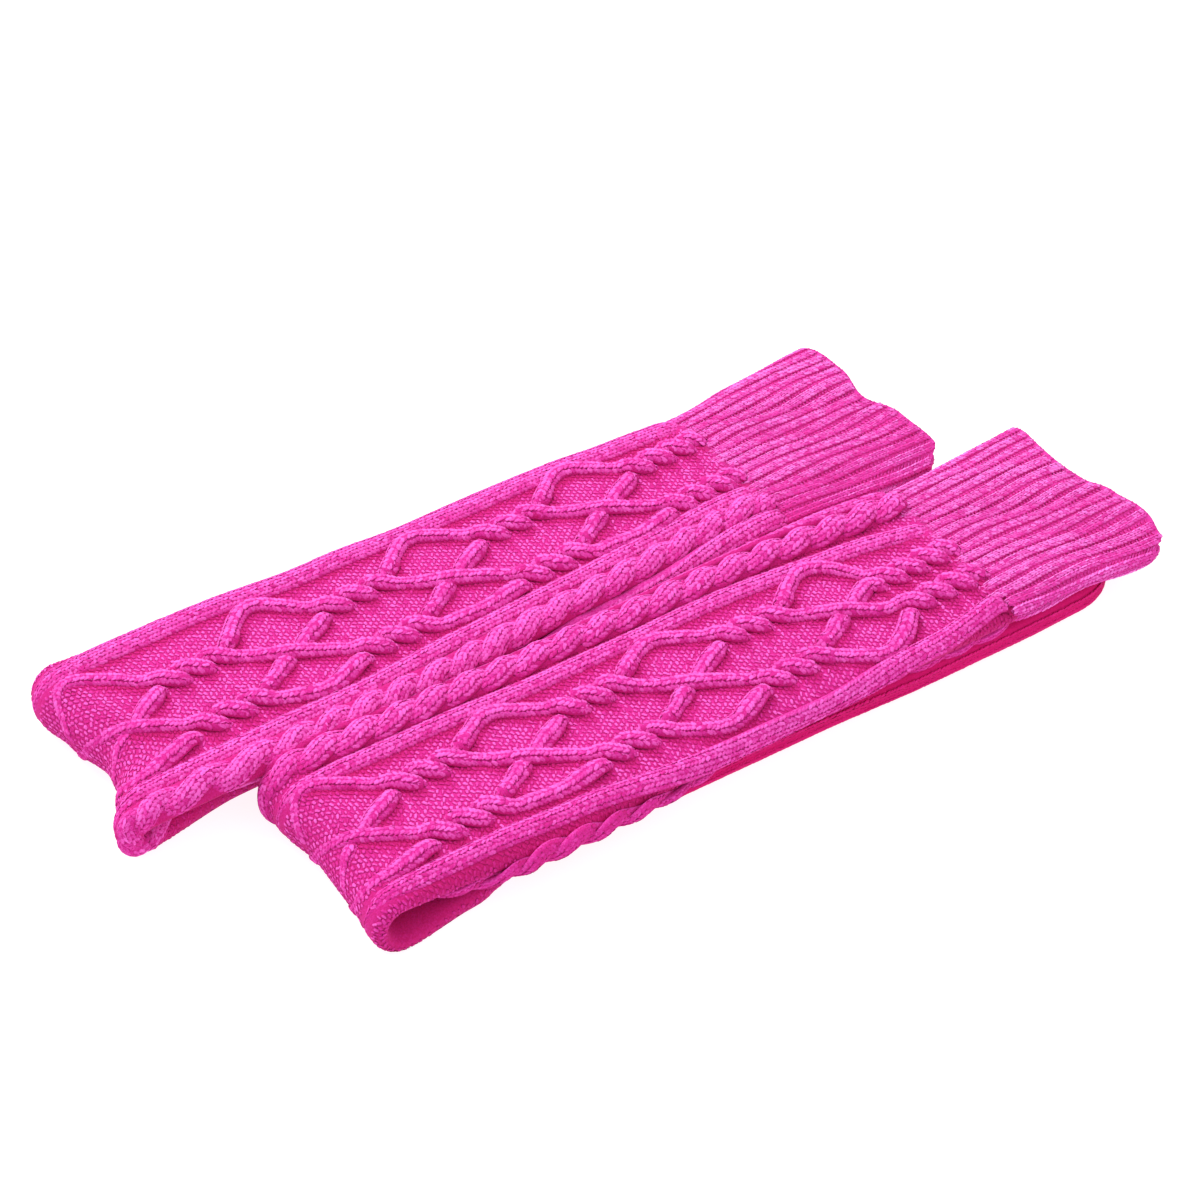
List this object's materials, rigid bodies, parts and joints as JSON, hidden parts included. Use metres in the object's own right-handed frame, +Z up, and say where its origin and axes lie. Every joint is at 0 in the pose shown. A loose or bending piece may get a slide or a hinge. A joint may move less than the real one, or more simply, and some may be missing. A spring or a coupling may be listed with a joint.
{
  "type": "pair of thigh-high socks",
  "caption": "Thigh-high cable-knit socks with ribbed cuffs, each folded in half and laid flat side by side.",
  "frame": {"origin": "on the ground, under the middle of the pair's box", "axes": "+X along the socks from the folded ends to the cuffs, +Y from the near sock to the far one, +Z up"},
  "size_m": [0.4596, 0.207, 0.0297],
  "materials": {
    "cable_knit": "soft brushed yarn, cable knit",
    "rib_knit": "soft brushed yarn, 2x2 rib",
    "plain_knit": "soft brushed yarn, stocking stitch"
  },
  "bodies": {
    "root": {"far_cuff": "rib_knit", "far_leg": "cable_knit", "far_foot": "plain_knit", "near_cuff": "rib_knit", "near_leg": "cable_knit", "near_foot": "plain_knit"}
  },
  "joints": []
}
